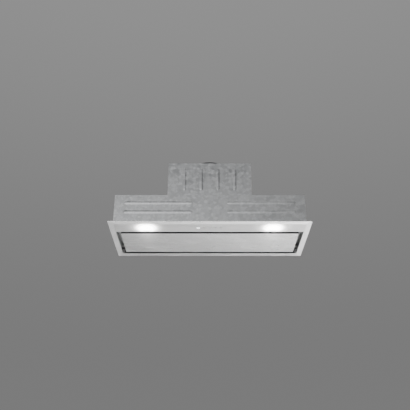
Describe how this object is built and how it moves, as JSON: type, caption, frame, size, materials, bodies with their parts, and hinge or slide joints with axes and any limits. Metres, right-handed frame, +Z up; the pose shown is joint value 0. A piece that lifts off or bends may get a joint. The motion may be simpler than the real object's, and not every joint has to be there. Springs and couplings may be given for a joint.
{
  "type": "built-in range hood",
  "caption": "Built-in range hood for a wall cabinet: a stainless trim with round lamps, push keys and a hinged perimeter suction panel under a steel casing with a blower and duct collar.",
  "frame": {"origin": "middle of the four fixing-screw holes, on the plane of the cabinet bottom", "axes": "+Z up into the cabinet, +X along the hood's width to its right-hand end seen from the front, -Y towards the front"},
  "size_m": [0.7, 0.3, 0.2987],
  "materials": {
    "stainless_trim": "brushed, satin",
    "stainless_fascia": "brushed along its length",
    "stainless_panel": "brushed along its length",
    "galvanised_steel": "galvanised, with spangle",
    "zinc_screw": "bright zinc",
    "bright_steel": "ground",
    "lamp_rim": "satin chrome",
    "lamp_lens": "frosted",
    "lamp_aluminium": "die cast",
    "led_board": "white solder mask",
    "circuit_board": "green solder mask",
    "key_cap": "satin",
    "key_cap_lit": "translucent, lit",
    "black_plastic": "fine moulded grain",
    "grey_plastic": "fine moulded grain",
    "dark_plastic": "fine moulded grain",
    "white_plastic": "fine moulded grain",
    "motor_paint": "satin paint",
    "motor_core": "laminated",
    "filter_aluminium": "satin",
    "filter_mesh": "expanded mesh",
    "magnet": "ferrite in a plated holder",
    "lead_sheath": "smooth"
  },
  "bodies": {
    "hood": {"trim_frame": "stainless_trim", "control_fascia": "stainless_fascia", "hinge_brackets": "dark_plastic", "mounting_frame": "galvanised_steel", "casing_wrap": "galvanised_steel", "casing_end_left": "galvanised_steel", "casing_end_right": "galvanised_steel", "fan_box_wrap": "galvanised_steel", "fan_box_front": "galvanised_steel", "fan_box_rear": "galvanised_steel", "scroll_left": "black_plastic", "scroll_right": "black_plastic", "motor_housing": "motor_paint", "motor_stator": "motor_core", "motor_bearings": "bright_steel", "motor_bracket": "galvanised_steel", "outlet_collar": "black_plastic", "damper_pin": "bright_steel", "control_box_tray": "white_plastic", "control_box_lid": "white_plastic", "control_board": "circuit_board", "led_driver": "white_plastic", "terminal_block": "grey_plastic", "mains_gland": "black_plastic", "motor_lead": "lead_sheath", "lamp_left_bezel": "lamp_rim", "lamp_left_lens": "lamp_lens", "lamp_left_body": "lamp_aluminium", "lamp_left_led_board": "led_board", "lamp_right_bezel": "lamp_rim", "lamp_right_lens": "lamp_lens", "lamp_right_body": "lamp_aluminium", "lamp_right_led_board": "led_board", "lamp_clips": "bright_steel", "keypad_carrier": "black_plastic", "keypad_board": "circuit_board", "filter_rail": "galvanised_steel", "filter_ledge": "galvanised_steel", "filter_left_frame": "filter_aluminium", "filter_right_frame": "filter_aluminium", "filter_left_mesh": "filter_mesh", "filter_right_mesh": "filter_mesh", "panel_magnets": "magnet", "housing_screws": "zinc_screw"},
    "suction_panel": {"suction_panel_skin": "stainless_panel", "suction_panel_back": "galvanised_steel", "panel_hinge_pins": "bright_steel"},
    "fan_wheel": {"impeller": "grey_plastic", "motor_rotor": "motor_core", "motor_shaft": "bright_steel"},
    "front_damper": {"damper_flap_front": "filter_aluminium"},
    "rear_damper": {"damper_flap_rear": "filter_aluminium"},
    "left_latch": {"filter_latch_left": "black_plastic"},
    "right_latch": {"filter_latch_right": "black_plastic"},
    "key_power_button": {"key_power": "key_cap_lit"},
    "key_low_button": {"key_low": "key_cap"},
    "key_middle_button": {"key_middle": "key_cap"},
    "key_high_button": {"key_high": "key_cap"},
    "key_light_button": {"key_light": "key_cap"}
  },
  "joints": [
    {"name": "panel_hinge", "type": "hinge", "parent": "hood", "child": "suction_panel", "pos_m": [0, 0.1, 0.0055], "axis": [1, 0, 0], "range_deg": [0, 85]},
    {"name": "fan_spin", "type": "hinge", "parent": "hood", "child": "fan_wheel", "pos_m": [0, -0.03, 0.165], "axis": [1, 0, 0], "continuous": true},
    {"name": "front_damper_swing", "type": "hinge", "parent": "hood", "child": "front_damper", "pos_m": [0, 0.022, 0.26], "axis": [-1, 0, 0], "range_deg": [0, 80]},
    {"name": "rear_damper_swing", "type": "hinge", "parent": "hood", "child": "rear_damper", "pos_m": [0, 0.022, 0.26], "axis": [1, 0, 0], "range_deg": [0, 80]},
    {"name": "left_latch_slide", "type": "slide", "parent": "hood", "child": "left_latch", "axis": [0, 1, 0], "range_m": [0, 0.007], "stiffness_N_per_m": 300, "springref_m": -0.002},
    {"name": "right_latch_slide", "type": "slide", "parent": "hood", "child": "right_latch", "axis": [0, 1, 0], "range_m": [0, 0.007], "stiffness_N_per_m": 300, "springref_m": -0.002},
    {"name": "key_power_press", "type": "slide", "parent": "hood", "child": "key_power_button", "axis": [0, 0, 1], "range_m": [0, 0.0008], "stiffness_N_per_m": 800, "springref_m": -0.0005},
    {"name": "key_low_press", "type": "slide", "parent": "hood", "child": "key_low_button", "axis": [0, 0, 1], "range_m": [0, 0.0008], "stiffness_N_per_m": 800, "springref_m": -0.0005},
    {"name": "key_middle_press", "type": "slide", "parent": "hood", "child": "key_middle_button", "axis": [0, 0, 1], "range_m": [0, 0.0008], "stiffness_N_per_m": 800, "springref_m": -0.0005},
    {"name": "key_high_press", "type": "slide", "parent": "hood", "child": "key_high_button", "axis": [0, 0, 1], "range_m": [0, 0.0008], "stiffness_N_per_m": 800, "springref_m": -0.0005},
    {"name": "key_light_press", "type": "slide", "parent": "hood", "child": "key_light_button", "axis": [0, 0, 1], "range_m": [0, 0.0008], "stiffness_N_per_m": 800, "springref_m": -0.0005}
  ]
}
